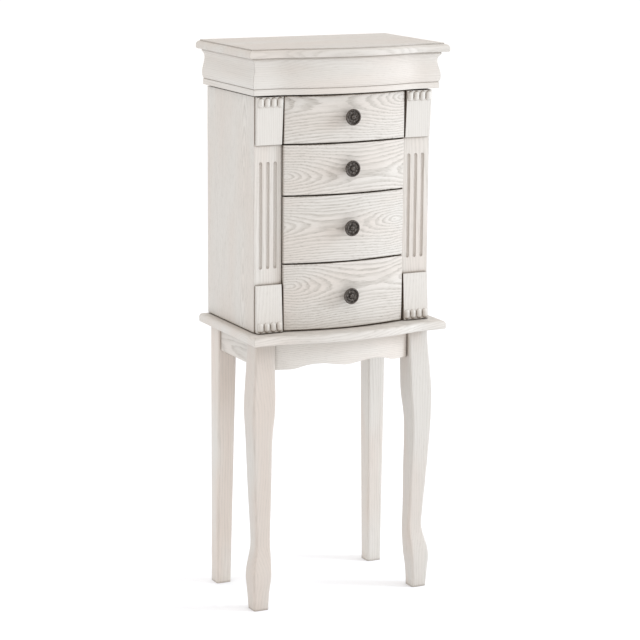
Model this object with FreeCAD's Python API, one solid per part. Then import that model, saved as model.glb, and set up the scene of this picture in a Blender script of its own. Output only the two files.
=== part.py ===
import FreeCAD, Part
import math
import os

# A jewelry armoire: a bow-front case of four drawers on a stand with cabriole front legs, a lift-up
# lid with a mirror inside, and a door on each side that carries a fluted pilaster and necklace hooks.
# Millimetres.  +Z is up, the front faces -Y, and the origin is on the floor under the middle of the
# whole box.

V = FreeCAD.Vector

# ---- Overall sizes -------------------------------------------------------------------------------
STAND_HEIGHT = 509.6        # floor to the top face of the stand
CASE_HEIGHT = 418.6         # stand to the top edge of the case
LID_GAP = 1.3               # shadow gap between case and lid
LID_HEIGHT = 80.5
CASE_WIDTH = 345.0
CASE_DEPTH = 200.8          # back face to the pilaster faces
LID_SIDE_OVERHANG = 22.5    # lid past the case at each end
LID_FRONT_OVERHANG = 32.0   # lid's straight front past the pilaster faces
STAND_SIDE_OVERHANG = 18.1
STAND_FRONT_OVERHANG = 43.4

# ---- Bow of the front, in plan -------------------------------------------------------------------
LID_BOW = 21.0              # how far the lid's front swells past its straight ends
STAND_BOW = 20.3
BOW_END_INSET = 22.5        # where the swell starts, inside the case's sides
BLEND_RADIUS = 120.0        # hollow curve between the straight ends and the swell
DRAWER_RADIUS = 402.6       # the drawer fronts' own curve
DRAWER_PROUD = 7.2          # drawer front ends stand this far in front of the pilasters

# ---- Stand ---------------------------------------------------------------------------------------
STAND_TOP_THICK = 15.3
STAND_TOP_ROUND = 6.0
STAND_UNDER_ROUND = 3.0
LEG_FRONT_PROUD = 8.4       # front faces of the front legs' blocks past the pilaster faces
REAR_LEG_INSET = 10.4       # case back to the rear legs' back faces
REAR_LEG_BLOCK = 36.5
REAR_LEG_FOOT = 28.5
LEG_ARRIS = 4.0             # rounding of the legs' corners
# Lower part of the front leg, as (height, swell of the outer faces past the block, width of the
# square section).
LEG_FOOT_SECTIONS = (
    (0.0, 3.5, 28.8),
    (12.0, 4.4, 30.0),
    (40.0, 6.1, 33.4),
    (64.0, 7.0, 36.8),
    (80.0, 4.7, 35.5),
    (100.0, -0.4, 31.4),
    (114.0, -2.8, 29.2),
    (135.0, -2.7, 28.9),
    (180.0, 0.0, 31.4),
)
LEG_MIDDLE_SECTION = (3.5, 34.8)  # swell and width half way between the lower and upper parts
# Upper part, as (depth below the stand top's underside, swell, width).
LEG_KNEE_SECTIONS = (
    (194.3, 6.5, 37.4),
    (159.3, 7.6, 40.2),
    (132.3, 8.0, 43.6),
    (99.3, 6.6, 43.8),
    (54.3, 3.2, 41.2),
    (0.0, 0.0, 39.5),
)
LEG_LOFT_SECTIONS = 40       # evenly spaced sections of the smooth leg
APRON_THICK = 18.0
APRON_INSET = 5.0           # side and back aprons behind the legs' outer faces
APRON_HEIGHT = 46.0
FRONT_APRON_SETBACK = 7.5   # front apron's ends behind the legs' front faces
# Drop of the front apron's lower edge below the stand top, at distances from the centre.
SCALLOP = ((0.0, 51.5), (27.0, 48.3), (54.0, 45.6), (82.0, 48.8), (108.0, 54.0))
CORNER_BLOCK = 35.0
CORNER_BLOCK_HEIGHT = 30.0
BOLT_RADIUS = 3.0
BOLT_HEAD_RADIUS = 5.5
BOLT_HEAD_HEIGHT = 4.0
BOLT_GRIP = 20.0            # length of the bolt inside the leg
BOLT_SEAT = 20.5            # wood between the bolt head and the leg
BOLT_INSET = 8.0            # bolt axis inside the leg block's inner face
BOLT_SEAT_CLEAR = 1.0       # room round the bolt's head

# ---- Case ----------------------------------------------------------------------------------------
CASE_BOARD = 10.0           # case bottom and the fixed boards above the necklace spaces
FRONT_LAP = 10.2            # drawer fronts past the partitions' inner faces
PARTITION_THICK = 9.0
STILE_SIZE = 18.0           # rear corner stiles
BACK_RAIL_THICK = 10.0
BACK_RAIL_HEIGHT = 30.0
BACK_PANEL_THICK = 4.0
INNER_CLEAR = 1.5           # inner case behind the door stiles
SIDE_CLEAR = 1.0            # inner case beside the door panels
TRAY_DEPTH = 30.2           # top tray, case top to its floor
TRAY_FLOOR = 4.0
TRAY_WALL = 4.0
TRAY_WALL_HEIGHT = 22.0
RING_BAY = 60.0             # width of the ring-roll bay
RING_ROLL_RADIUS = 8.0
RING_ROLL_GAP = 0.6
RING_BAY_SPARE = 30.0       # length of the ring bay left free of rolls
RING_ROLL_END_CLEAR = 1.0
BUMPER_RADIUS = 3.0
BUMPER_THICK = 1.0
MAGNET_SIZE = (12.0, 10.0, 20.0)

# ---- Doors ---------------------------------------------------------------------------------------
DOOR_THICK = 12.0
DOOR_FOOT_GAP = 1.4
DOOR_HEAD_GAP = 2.0
PILASTER_WIDTH = 52.9
FLUTE_COUNT = 3
FLUTE_PITCH = 14.0
FLUTE_RADIUS = 3.4
FLUTE_SHY = 0.8             # flute's axis in front of the pilaster face
FLUTE_FOOT = 112.0          # flutes' lower ends above the door's foot
FLUTE_HEAD = 113.7          # flutes' upper ends below the door's head
CORBEL_HEIGHT = 84.0
CORBEL_INSET = 2.0          # corbel's sides inside the pilaster's
CORBEL_THIN = 5.5
CORBEL_THICK = 11.5
BEAD_COUNT = 4
BEAD_PITCH = 12.2
BEAD_RADIUS = 6.1
BEAD_HEIGHT = 19.0
BEAD_PROUD = 3.0
HOOK_RAIL_THICK = 8.0
HOOK_RAIL_HEIGHT = 20.0
HOOK_RAIL_END_CLEAR = 15.4  # rail's ends from the pilaster board and from the rear stile
HOOK_RAIL_DROP = 22.0       # rail's top below the door's top
HOOK_COUNT = 6
HOOK_END_MARGIN = 15.0      # first and last hook from the rail's ends
HOOK_RADIUS = 1.3
HOOK_REACH = 10.0
HOOK_TIP = 7.0
STRIKE_THICK = 1.0

# ---- Drawers, lowest first -----------------------------------------------------------------------
DRAWER_DROPS = (297.7, 177.1, 86.5)  # lower limits of the upper three spaces, below the case's top
FRONT_GAP = 2.4             # between one front and the next
FRONT_EASE = 1.8
SIDE_REVEAL = 1.4           # fronts to the pilasters
FRONT_BACK = 13.0           # pilaster face to the flat back of the fronts
BOX_RAISE = 13.0            # drawer box above its front's lower edge
BOX_DROP = 21.0             # drawer box below its front's upper edge
BOX_WALL = 8.0
BOX_FLOOR = 4.0
BOX_REAR_CLEAR = 10.8       # boxes' backs in front of the back panel
BOX_CLEAR = 3.0             # each side of the box
TOP_BOX_CLEAR = 4.0         # top drawer's box below the tray floor
RUNNER_WIDTH = 13.0
RUNNER_HEIGHT = 4.0
SEAT_CLEAR = 0.3            # running gap where a moving piece lies on a fixed one
KNOB_RADIUS = 14.5
KNOB_REACH = 17.0
SCREW_RADIUS = 2.0
SCREW_CLEAR = 0.2
SCREW_BITE = 6.0            # screw's depth inside the knob
KNOB_LIFTS = (0.50, 0.51, 0.51, 0.54)  # knob's place up its own front

# ---- Lid -----------------------------------------------------------------------------------------
LID_TOP_THICK = 15.6
LID_TOP_STEP = 2.2          # raised field on the lid's top
LID_STEP_INSET = 8.0
LID_EDGE_ROUND = 7.2
LID_UNDER_ROUND = 2.4
MOULDING_DEPTH = 28.0       # lid's edge to the outer face of its inner frame
FRAME_BOARD = 14.0
MOULDING_CORE = 20.0        # front moulding is solid behind this inset
# Cornice moulding, as (inset from the lid's edge, height above the lid's underside).
FILLET = ((14.6, 0.0), (13.8, 0.8), (13.8, 9.8), (14.4, 10.6), (15.2, 10.6))
CYMA = ((15.2, 10.6), (12.0, 25.3), (16.3, 44.5), (11.2, 60.2))
CYMA_LEANS = (1.2, 0.8)     # rise of the curve's ends for each unit of reach
MIRROR_THICK = 3.0
MIRROR_END_MARGIN = 70.0    # mirror's ends inside the lid's
MIRROR_FRONT_MARGIN = 62.9  # mirror's edge behind the lid's straight front
MIRROR_REAR_MARGIN = 29.9
MIRROR_FRAME = 12.0
MIRROR_LIP = 6.0
MIRROR_FRAME_THICK = 9.0
MIRROR_CLEAR = 0.3

# ---- Hinges --------------------------------------------------------------------------------------
PIN_OFFSET = 2.5            # hinge axis behind the back face
PIN_RADIUS = 1.0
PIN_CLEAR = 0.05
KNUCKLE_RADIUS = 2.2
KNUCKLE_GAP = 0.3
LEAF_THICK = 1.2
LEAF_START = KNUCKLE_RADIUS + 0.4
LEAF_WIDTH = 9.0
TAB_END = 0.6
DOOR_HINGE_LENGTH = 50.0
DOOR_HINGE_FOOT = 45.0      # lower hinge above the door's foot
DOOR_HINGE_HEAD = 95.2      # upper hinge's lower end below the door's head
LID_HINGE_LENGTH = 60.0
LID_HINGE_INSET = 67.5      # hinge's middle inside the case's side

# ---- Places worked out from the sizes ------------------------------------------------------------
LID_WIDTH = CASE_WIDTH + 2 * LID_SIDE_OVERHANG
STAND_TOP_WIDTH = CASE_WIDTH + 2 * STAND_SIDE_OVERHANG
LID_DEPTH = CASE_DEPTH + LID_FRONT_OVERHANG
STAND_TOP_DEPTH = CASE_DEPTH + STAND_FRONT_OVERHANG
LEG_FRONT_DEPTH = CASE_DEPTH + LEG_FRONT_PROUD
BOW_HALF_SPAN = CASE_WIDTH / 2 - BOW_END_INSET
BACK = (STAND_TOP_DEPTH + STAND_BOW - PIN_OFFSET - KNUCKLE_RADIUS) / 2
CASE_FRONT = BACK - CASE_DEPTH
LID_FRONT = BACK - LID_DEPTH
STAND_FRONT = BACK - STAND_TOP_DEPTH
LEG_FRONT = BACK - LEG_FRONT_DEPTH
LEG_REAR = BACK - REAR_LEG_INSET
SIDE = CASE_WIDTH / 2
PILASTER_X = SIDE - PILASTER_WIDTH
CASE_TOP = STAND_HEIGHT + CASE_HEIGHT
LID_BOTTOM = CASE_TOP + LID_GAP
LID_UNDER = LID_BOTTOM + LID_HEIGHT - LID_TOP_THICK
LID_TOP = LID_BOTTOM + LID_HEIGHT
SLAB_BOTTOM = STAND_HEIGHT - STAND_TOP_THICK
LEG_BLOCK = LEG_KNEE_SECTIONS[-1][2]
DOOR_BOTTOM = STAND_HEIGHT + DOOR_FOOT_GAP
DOOR_TOP = CASE_TOP - DOOR_HEAD_GAP
DOOR_INNER = SIDE - DOOR_THICK
STILE_BACK = CASE_FRONT + DOOR_THICK
INNER_FRONT = STILE_BACK + INNER_CLEAR
INNER_SIDE = DOOR_INNER - SIDE_CLEAR
STILE_X = INNER_SIDE - STILE_SIZE
STILE_FRONT = BACK - STILE_SIZE
PANEL_BACK = BACK - BACK_RAIL_THICK
PANEL_FRONT = PANEL_BACK - BACK_PANEL_THICK
HALF_FRONT = PILASTER_X - SIDE_REVEAL
PARTITION_X = HALF_FRONT - FRONT_LAP
PARTITION_OUT = PARTITION_X + PARTITION_THICK
TRAY_TOP = CASE_TOP - TRAY_DEPTH
FRONT_FLAT = CASE_FRONT + FRONT_BACK
BOX_LENGTH = PANEL_FRONT - FRONT_FLAT - BOX_REAR_CLEAR
DRAWER_SPLITS = (0.0,) + tuple(CASE_HEIGHT - drop for drop in DRAWER_DROPS)
DOOR_HINGE_LIFTS = (DOOR_HINGE_FOOT, DOOR_TOP - DOOR_BOTTOM - DOOR_HINGE_HEAD)
LID_HINGE_X = SIDE - LID_HINGE_INSET
HOOK_RAIL_LENGTH = STILE_FRONT - STILE_BACK - 2 * HOOK_RAIL_END_CLEAR
MIRROR_SIZE = (LID_WIDTH - 2 * MIRROR_END_MARGIN,
               LID_DEPTH - MIRROR_FRONT_MARGIN - MIRROR_REAR_MARGIN, MIRROR_THICK)
MIRROR_CENTRE = MIRROR_REAR_MARGIN + MIRROR_SIZE[1] / 2
HALF_BOX = PARTITION_X - BOX_CLEAR
BOW_CENTRE = CASE_FRONT - DRAWER_PROUD + math.sqrt(DRAWER_RADIUS ** 2 - HALF_FRONT ** 2)


# ---- Small tools ---------------------------------------------------------------------------------
def block(x0, x1, y0, y1, z0, z1):
    """A board between two opposite corners."""
    return Part.makeBox(x1 - x0, y1 - y0, z1 - z0, V(x0, y0, z0))


def rod(start, axis, radius, length):
    """A round bar from a point along an axis."""
    return Part.makeCylinder(radius, length, V(*start), V(*axis))


def mirrored(shape):
    """The same piece on the other side of the armoire."""
    return shape.mirror(V(0, 0, 0), V(1, 0, 0))


def both_sides(shape):
    return [shape, mirrored(shape)]


def prism(points, z0, z1):
    """A straight-sided plan outline carried from z0 to z1."""
    corners = [V(x, y, z0) for x, y in points]
    return Part.Face(Part.makePolygon(corners + corners[:1])).extrude(V(0, 0, z1 - z0))


def save(name, pieces):
    """Write one node: a single solid, or a group of separate solids."""
    pieces = pieces if isinstance(pieces, list) else [pieces]
    solids = [solid for piece in pieces for solid in piece.Solids]
    for solid in solids:
        if not solid.isValid():
            raise ValueError(name + " has a solid that is not valid")
    shape = solids[0] if len(solids) == 1 else Part.makeCompound(solids)
    shape.exportStep("parts/" + name + ".step")


def arc(centre, radius, start, end):
    """An arc in plan: angles in degrees from +X, counter-clockwise when end is larger."""
    points = []
    for share in (0.0, 0.5, 1.0):
        turn = math.radians(start + (end - start) * share)
        points.append(V(centre[0] + radius * math.cos(turn), centre[1] + radius * math.sin(turn), 0))
    return Part.Arc(*points).toShape()


# ---- Bowed plates and mouldings ------------------------------------------------------------------
def bow_shape(bow):
    """Radius of the swell and the half angle that it turns before the hollow blends begin."""
    reach = (BOW_HALF_SPAN ** 2 + bow ** 2) / (2 * bow)
    return reach - BLEND_RADIUS, math.degrees(math.asin(BOW_HALF_SPAN / reach))


def bowed_plate(half_width, front, bow, inset, z0, z1):
    """A board with the bowed front, all but its back edge moved in by inset."""
    radius, turn = bow_shape(bow)
    line = front + inset
    edge = half_width - inset
    left, right = (-BOW_HALF_SPAN, front - BLEND_RADIUS), (BOW_HALF_SPAN, front - BLEND_RADIUS)
    hollow = BLEND_RADIUS + inset
    edges = [
        Part.makeLine(V(edge, BACK, 0), V(edge, line, 0)),
        Part.makeLine(V(edge, line, 0), V(BOW_HALF_SPAN, line, 0)),
        arc(right, hollow, 90, 90 + turn),
        arc((0, front - bow + radius), radius - inset, -90 + turn, -90 - turn),
        arc(left, hollow, 90 - turn, 90),
        Part.makeLine(V(-BOW_HALF_SPAN, line, 0), V(-edge, line, 0)),
        Part.makeLine(V(-edge, line, 0), V(-edge, BACK, 0)),
        Part.makeLine(V(-edge, BACK, 0), V(edge, BACK, 0)),
    ]
    plate = Part.Face(Part.Wire(Part.__sortEdges__(edges))).extrude(V(0, 0, z1 - z0))
    plate.translate(V(0, 0, z0))
    return plate


def rim_edges(plate, z):
    """The edges of a bowed plate's front and ends that lie at one height."""
    found = []
    for edge in plate.Edges:
        box = edge.BoundBox
        if abs(box.ZMin - z) < 1e-4 and abs(box.ZMax - z) < 1e-4 and box.YMin < BACK - 1:
            found.append(edge)
    return found


def bowed_moulding(profile, half_width, front, bow):
    """Carry a profile, drawn in the YZ plane with its edge line at y = 0, along the bowed front."""
    radius, turn = bow_shape(bow)
    straight = profile.translated(V(BOW_HALF_SPAN, front, 0))
    end = straight.extrude(V(half_width - BOW_HALF_SPAN, 0, 0))
    hollow = straight.revolve(V(BOW_HALF_SPAN, front - BLEND_RADIUS, 0), V(0, 0, 1), turn)
    centre = V(0, front - bow + radius, 0)
    middle = profile.translated(V(0, front - bow, 0))
    middle.rotate(centre, V(0, 0, 1), -turn)
    swell = middle.revolve(centre, V(0, 0, 1), 2 * turn)
    return swell.multiFuse(both_sides(end) + both_sides(hollow)).removeSplitter()


# ---- Stand ---------------------------------------------------------------------------------------
def rounded_square(left, front, width, z):
    """A square section with rounded corners, given its lower X and Y limits."""
    inner = width - 2 * LEG_ARRIS
    corners = ((0, 0, 180), (inner, 0, 270), (inner, inner, 0), (0, inner, 90))
    edges = []
    for x, y, start in corners:
        edges.append(arc((left + LEG_ARRIS + x, front + LEG_ARRIS + y), LEG_ARRIS, start, start + 90))
    joined = []
    for index, edge in enumerate(edges):
        joined.append(edge)
        following = edges[(index + 1) % len(edges)]
        joined.append(Part.makeLine(edge.lastVertex(True).Point, following.firstVertex(True).Point))
    wire = Part.Wire(joined)
    wire.translate(V(0, 0, z))
    return wire


def leg_hole(leg, at_front):
    """Bore the bolt hole into a right-hand leg's inner face towards the case's middle."""
    x, start, direction = bolt_line(at_front)
    return leg.cut(rod((x, start, bolt_height()), (0, direction, 0), BOLT_RADIUS, BOLT_GRIP))


def bolt_height():
    return SLAB_BOTTOM - CORNER_BLOCK_HEIGHT / 2


def bolt_line(at_front):
    """Bolt axis x, the leg face it enters and its direction, for a right-hand leg."""
    if at_front:
        return SIDE - LEG_BLOCK + BOLT_INSET, LEG_FRONT + LEG_BLOCK, -1
    return SIDE - REAR_LEG_BLOCK + BOLT_INSET, LEG_REAR - REAR_LEG_BLOCK, 1


def front_leg():
    """Cabriole leg sawn from the square: swelling knee, slim ankle, flared foot."""
    points = [V(swell, width, height) for height, swell, width in LEG_FOOT_SECTIONS]
    knee = [V(swell, width, SLAB_BOTTOM - depth) for depth, swell, width in LEG_KNEE_SECTIONS]
    points.append(V(*LEG_MIDDLE_SECTION, (points[-1].z + knee[0].z) / 2))
    run = Part.BSplineCurve()
    run.interpolate(points + knee)
    sections = []
    for point in run.discretize(LEG_LOFT_SECTIONS):
        swell, width, height = point
        sections.append(rounded_square(SIDE + swell - width, LEG_FRONT - swell, width, height))
    return leg_hole(Part.makeLoft(sections, True, False), True)


def rear_leg():
    """Straight rear leg: square block, then front and inner faces taper to the foot."""
    block_bottom = SLAB_BOTTOM - APRON_HEIGHT
    sections = []
    for height, width in ((0.0, REAR_LEG_FOOT), (block_bottom, REAR_LEG_BLOCK)):
        sections.append(rounded_square(SIDE - width, LEG_REAR - width, width, height))
    taper = Part.makeLoft(sections, True, True)
    top = Part.Face(sections[-1]).extrude(V(0, 0, APRON_HEIGHT))
    return leg_hole(taper.fuse(top).removeSplitter(), False)


def front_apron():
    """Bowed apron with a scalloped lower edge, between the front legs' blocks."""
    half = SIDE - LEG_BLOCK
    end = LEG_FRONT + FRONT_APRON_SETBACK
    outer = math.hypot(half, BOW_CENTRE - end)
    ring = rod((0, BOW_CENTRE, 0), (0, 0, 1), outer, SLAB_BOTTOM)
    ring = ring.cut(rod((0, BOW_CENTRE, 0), (0, 0, 1), outer - APRON_THICK, SLAB_BOTTOM))
    right = [V(x, 0, SLAB_BOTTOM - drop) for x, drop in SCALLOP]
    left = [V(-point.x, 0, point.z) for point in right[:0:-1]]
    curve = Part.BSplineCurve()
    curve.interpolate(Points=left + right, InitialTangent=V(1, 0, 0), FinalTangent=V(1, 0, 0))
    low = right[-1].z
    corners = (V(SCALLOP[-1][0], 0, low), V(half, 0, low), V(half, 0, SLAB_BOTTOM),
               V(-half, 0, SLAB_BOTTOM), V(-half, 0, low), V(-SCALLOP[-1][0], 0, low))
    edges = [curve.toShape()]
    for start, finish in zip(corners, corners[1:]):
        edges.append(Part.makeLine(start, finish))
    board = Part.Face(Part.Wire(edges)).extrude(V(0, -BOW_CENTRE, 0))
    return ring.common(board)


def side_apron():
    outer = SIDE - APRON_INSET
    front = LEG_FRONT + LEG_BLOCK
    rear = LEG_REAR - REAR_LEG_BLOCK
    return block(outer - APRON_THICK, outer, front, rear, SLAB_BOTTOM - APRON_HEIGHT, SLAB_BOTTOM)


def back_apron():
    half = SIDE - REAR_LEG_BLOCK
    outer = LEG_REAR - APRON_INSET
    return block(-half, half, outer - APRON_THICK, outer, SLAB_BOTTOM - APRON_HEIGHT, SLAB_BOTTOM)


def corner_block(at_front):
    """Triangular glue block between a leg and its side apron, counterbored for the bolt."""
    x, face, direction = bolt_line(at_front)
    inner = SIDE - APRON_INSET - APRON_THICK
    away = face - direction * CORNER_BLOCK
    wedge = prism(((inner, face), (inner, away), (inner - CORNER_BLOCK, face)),
                  SLAB_BOTTOM - CORNER_BLOCK_HEIGHT, SLAB_BOTTOM)
    hole = rod((x, face, bolt_height()), (0, -direction, 0), BOLT_RADIUS + SCREW_CLEAR, CORNER_BLOCK)
    seat = rod((x, face - direction * BOLT_SEAT, bolt_height()), (0, -direction, 0),
               BOLT_HEAD_RADIUS + BOLT_SEAT_CLEAR, CORNER_BLOCK)
    return wedge.cut(hole).cut(seat)


def leg_bolt(at_front):
    """Bolt through a corner block into its leg."""
    x, face, direction = bolt_line(at_front)
    tip = rod((x, face + direction * BOLT_GRIP, bolt_height()), (0, -direction, 0), BOLT_RADIUS,
              BOLT_GRIP + BOLT_SEAT)
    head = rod((x, face - direction * BOLT_SEAT, bolt_height()), (0, -direction, 0),
               BOLT_HEAD_RADIUS, BOLT_HEAD_HEIGHT)
    return tip.fuse(head)


def stand_top():
    """Bowed slab with a rounded-over edge, flush with the case at the back."""
    slab = bowed_plate(STAND_TOP_WIDTH / 2, STAND_FRONT, STAND_BOW, 0, SLAB_BOTTOM, STAND_HEIGHT)
    slab = slab.makeFillet(STAND_TOP_ROUND, rim_edges(slab, STAND_HEIGHT))
    return slab.makeFillet(STAND_UNDER_ROUND, rim_edges(slab, SLAB_BOTTOM))


def save_stand():
    save("stand_top", stand_top())
    save("front_apron", front_apron())
    for name, maker in (("leg_front", front_leg), ("leg_rear", rear_leg), ("side_apron", side_apron)):
        piece = maker()
        save(name + "_right", piece)
        save(name + "_left", mirrored(piece))
    save("back_apron", back_apron())
    save("corner_blocks", both_sides(corner_block(True)) + both_sides(corner_block(False)))
    save("leg_bolts", both_sides(leg_bolt(True)) + both_sides(leg_bolt(False)))


# ---- Case ----------------------------------------------------------------------------------------
def between_stiles(x0, x1, z0, z1):
    """A horizontal board from the case front to the back panel, notched round the rear stile."""
    main = block(x0, x1, INNER_FRONT, STILE_FRONT, z0, z1)
    tongue = block(max(x0, -STILE_X), min(x1, STILE_X), STILE_FRONT, PANEL_FRONT, z0, z1)
    return main.fuse(tongue).removeSplitter()


def partition():
    return block(PARTITION_X, PARTITION_OUT, INNER_FRONT, PANEL_FRONT,
                 STAND_HEIGHT + CASE_BOARD, CASE_TOP)


def back_frame():
    """Two rear stiles with a rail between them at the top and at the bottom."""
    stile = block(STILE_X, INNER_SIDE, STILE_FRONT, BACK, STAND_HEIGHT, CASE_TOP)
    rails = []
    for z in (STAND_HEIGHT, CASE_TOP - BACK_RAIL_HEIGHT):
        rails.append(block(-STILE_X, STILE_X, PANEL_BACK, BACK, z, z + BACK_RAIL_HEIGHT))
    return both_sides(stile) + rails


def front_span(index):
    """Lower and upper edge of a drawer front: index 0 is the lowest drawer."""
    bottom = STAND_HEIGHT + DRAWER_SPLITS[index] + (DOOR_FOOT_GAP if index == 0 else FRONT_GAP / 2)
    if index + 1 < len(DRAWER_SPLITS):
        return bottom, STAND_HEIGHT + DRAWER_SPLITS[index + 1] - FRONT_GAP / 2
    return bottom, DOOR_TOP


def box_span(index):
    """Underside and upper edge of a drawer box."""
    bottom, top = front_span(index)
    limit = TRAY_TOP - TRAY_FLOOR - TOP_BOX_CLEAR
    return bottom + BOX_RAISE, min(top - BOX_DROP, limit)


def drawer_runners():
    """Hardwood strips on the partitions that the drawer boxes slide on."""
    strips = []
    for index in range(len(DRAWER_SPLITS)):
        top = box_span(index)[0] - SEAT_CLEAR
        strip = block(PARTITION_X - RUNNER_WIDTH, PARTITION_X, INNER_FRONT + BOX_WALL,
                      PANEL_FRONT, top - RUNNER_HEIGHT, top)
        strips += both_sides(strip)
    return strips


def tray_front_rail():
    return block(-PARTITION_X, PARTITION_X, INNER_FRONT, INNER_FRONT + BOX_WALL, TRAY_TOP, CASE_TOP)


def tray_dividers():
    """One long wall beside the ring bay and two cross walls for the small compartments."""
    x = -PARTITION_X + RING_BAY
    front = INNER_FRONT + BOX_WALL
    top = TRAY_TOP + TRAY_WALL_HEIGHT
    walls = [block(x, x + TRAY_WALL, front, PANEL_FRONT, TRAY_TOP, top)]
    for share in (1 / 3, 2 / 3):
        y = front + (PANEL_FRONT - front) * share
        walls.append(block(x + TRAY_WALL, PARTITION_X, y - TRAY_WALL / 2, y + TRAY_WALL / 2,
                           TRAY_TOP, top))
    return walls


def ring_cushions():
    """Padded rolls that lie side by side in the ring bay."""
    front = INNER_FRONT + BOX_WALL
    pitch = 2 * RING_ROLL_RADIUS + RING_ROLL_GAP
    count = int((PANEL_FRONT - front - RING_BAY_SPARE) / pitch)
    start = front + (PANEL_FRONT - front - pitch * count) / 2 + pitch / 2
    rolls = []
    for index in range(count):
        rolls.append(rod((-PARTITION_X + RING_ROLL_END_CLEAR, start + index * pitch,
                          TRAY_TOP + RING_ROLL_RADIUS + SEAT_CLEAR),
                         (1, 0, 0), RING_ROLL_RADIUS, RING_BAY - 2 * RING_ROLL_END_CLEAR))
    return rolls


def lid_bumpers():
    """Four rubber dots on the fixed boards, under the lid's side frame."""
    x = (LID_WIDTH / 2 - MOULDING_DEPTH - FRAME_BOARD + INNER_SIDE) / 2
    dots = []
    for y in (INNER_FRONT + 2 * BUMPER_RADIUS, STILE_FRONT - 2 * BUMPER_RADIUS):
        dots += both_sides(rod((x, y, CASE_TOP), (0, 0, 1), BUMPER_RADIUS, BUMPER_THICK))
    return dots


def door_magnets():
    """Magnetic catches on the partitions, facing the strike plates on the doors."""
    width, depth, height = MAGNET_SIZE
    front = STILE_BACK + STRIKE_THICK + SEAT_CLEAR
    middle = (DOOR_BOTTOM + DOOR_TOP) / 2
    return both_sides(block(PARTITION_OUT, PARTITION_OUT + width, front, front + depth,
                            middle - height / 2, middle + height / 2))


def save_case():
    save("case_bottom", between_stiles(-INNER_SIDE, INNER_SIDE, STAND_HEIGHT,
                                       STAND_HEIGHT + CASE_BOARD))
    save("back_panel", block(-STILE_X, STILE_X, PANEL_FRONT, PANEL_BACK, STAND_HEIGHT, CASE_TOP))
    save("back_frame", back_frame())
    save("partition_right", partition())
    save("partition_left", mirrored(partition()))
    save("top_boards", both_sides(between_stiles(PARTITION_OUT, INNER_SIDE,
                                                 CASE_TOP - CASE_BOARD, CASE_TOP)))
    save("drawer_runners", drawer_runners())
    save("tray_base", block(-PARTITION_X, PARTITION_X, INNER_FRONT, PANEL_FRONT,
                            TRAY_TOP - TRAY_FLOOR, TRAY_TOP))
    save("tray_front_rail", tray_front_rail())
    save("tray_dividers", tray_dividers())
    save("ring_cushions", ring_cushions())
    save("lid_bumpers", lid_bumpers())
    save("door_magnets", door_magnets())


# ---- Hinges --------------------------------------------------------------------------------------
def hinge(length):
    """A butt hinge with its pin along +Z at the origin: the fixed half, with the pin, and the
    moving half.  The fixed leaf points to -X, the moving leaf to +X, both on the plane y = -PIN_OFFSET."""
    near, far = -PIN_OFFSET, -PIN_OFFSET + LEAF_THICK
    quarter = length / 4
    fixed = block(-LEAF_START - LEAF_WIDTH, -LEAF_START, near, far, 0, length)
    for z in (0, length - quarter):
        fixed = fixed.fuse(block(-LEAF_START, -TAB_END, near, far, z, z + quarter))
        fixed = fixed.fuse(rod((0, 0, z), (0, 0, 1), KNUCKLE_RADIUS, quarter))
    fixed = fixed.fuse(rod((0, 0, 0), (0, 0, 1), PIN_RADIUS, length))
    low, high = quarter + KNUCKLE_GAP, length - quarter - KNUCKLE_GAP
    moving = block(LEAF_START, LEAF_START + LEAF_WIDTH, near, far, 0, length)
    moving = moving.fuse(block(TAB_END, LEAF_START, near, far, low, high))
    moving = moving.fuse(rod((0, 0, low), (0, 0, 1), KNUCKLE_RADIUS, high - low))
    moving = moving.cut(rod((0, 0, 0), (0, 0, 1), PIN_RADIUS + PIN_CLEAR, length))
    return fixed.removeSplitter(), moving.removeSplitter()


def door_hinges():
    """Fixed and moving halves of the right-hand door's two hinges."""
    halves = hinge(DOOR_HINGE_LENGTH)
    places = [V(DOOR_INNER, BACK + PIN_OFFSET, DOOR_BOTTOM + lift) for lift in DOOR_HINGE_LIFTS]
    return [[half.translated(place) for place in places] for half in halves]


def lid_hinges():
    """Fixed and moving halves of the lid's two hinges, pins along X."""
    z = CASE_TOP + LID_GAP / 2
    pairs = []
    for half in hinge(LID_HINGE_LENGTH):
        half.rotate(V(0, 0, 0), V(0, 1, 0), -90)
        half = half.translated(V(LID_HINGE_LENGTH / 2, BACK + PIN_OFFSET, z))
        pairs.append([half.translated(V(x, 0, 0)) for x in (-LID_HINGE_X, LID_HINGE_X)])
    return pairs


# ---- Doors ---------------------------------------------------------------------------------------
def door_panel():
    """Plain side panel, mitred to the pilaster at the front corner."""
    return prism(((SIDE, CASE_FRONT), (SIDE, BACK), (DOOR_INNER, BACK), (DOOR_INNER, STILE_BACK)),
                 DOOR_BOTTOM, DOOR_TOP)


def door_stile():
    """Pilaster board with three stopped flutes."""
    board = prism(((PILASTER_X, CASE_FRONT), (SIDE, CASE_FRONT), (DOOR_INNER, STILE_BACK),
                   (PILASTER_X, STILE_BACK)), DOOR_BOTTOM, DOOR_TOP)
    middle = SIDE - PILASTER_WIDTH / 2
    low, high = DOOR_BOTTOM + FLUTE_FOOT, DOOR_TOP - FLUTE_HEAD
    for index in range(FLUTE_COUNT):
        x = middle + (index - (FLUTE_COUNT - 1) / 2) * FLUTE_PITCH
        y = CASE_FRONT - FLUTE_SHY
        cutter = rod((x, y, low + FLUTE_RADIUS), (0, 0, 1), FLUTE_RADIUS, high - low - 2 * FLUTE_RADIUS)
        for z in (low + FLUTE_RADIUS, high - FLUTE_RADIUS):
            cutter = cutter.fuse(Part.makeSphere(FLUTE_RADIUS, V(x, y, z)))
        board = board.cut(cutter)
    return board


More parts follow.
